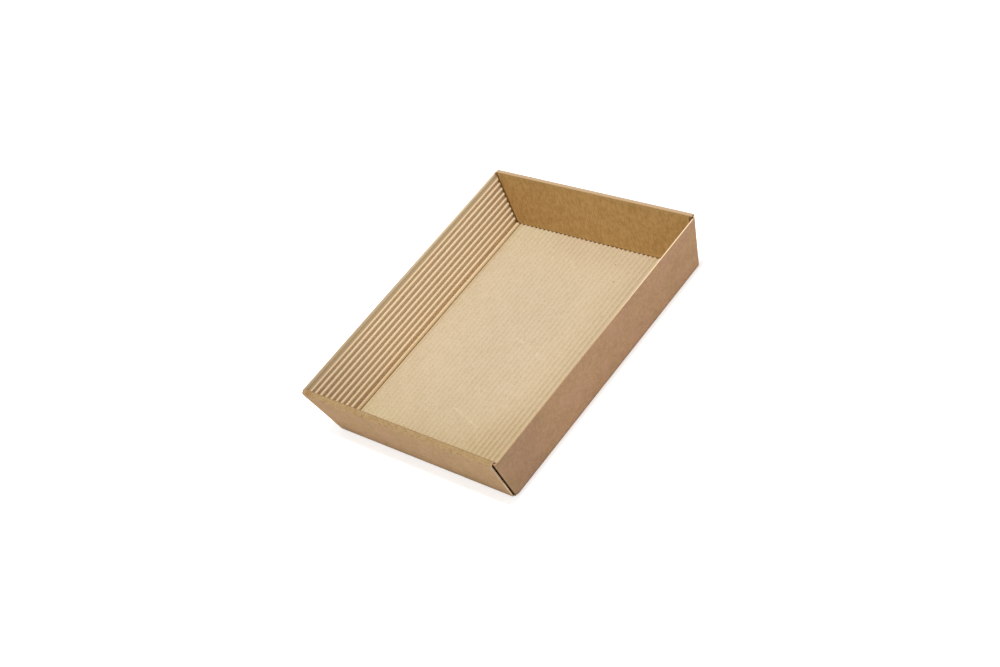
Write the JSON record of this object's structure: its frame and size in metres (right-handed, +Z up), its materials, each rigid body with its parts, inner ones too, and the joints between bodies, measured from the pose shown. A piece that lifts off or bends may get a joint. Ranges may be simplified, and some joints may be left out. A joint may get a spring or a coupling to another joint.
{
  "type": "cardboard tray box",
  "caption": "Shallow open tray folded from single-face corrugated card, with its open flutes inside, leaning walls and rolled-over ends that hold the corner tabs.",
  "frame": {"origin": "middle of the underside, on the surface that the tray stands on", "axes": "+Z up, +Y along the flutes and the longer side, towards one rolled end wall, +X across the flutes"},
  "size_m": [0.1446, 0.177, 0.0334],
  "materials": {
    "kraft_card": "matte uncoated kraft"
  },
  "bodies": {
    "root": {"tray": "kraft_card"}
  },
  "joints": []
}
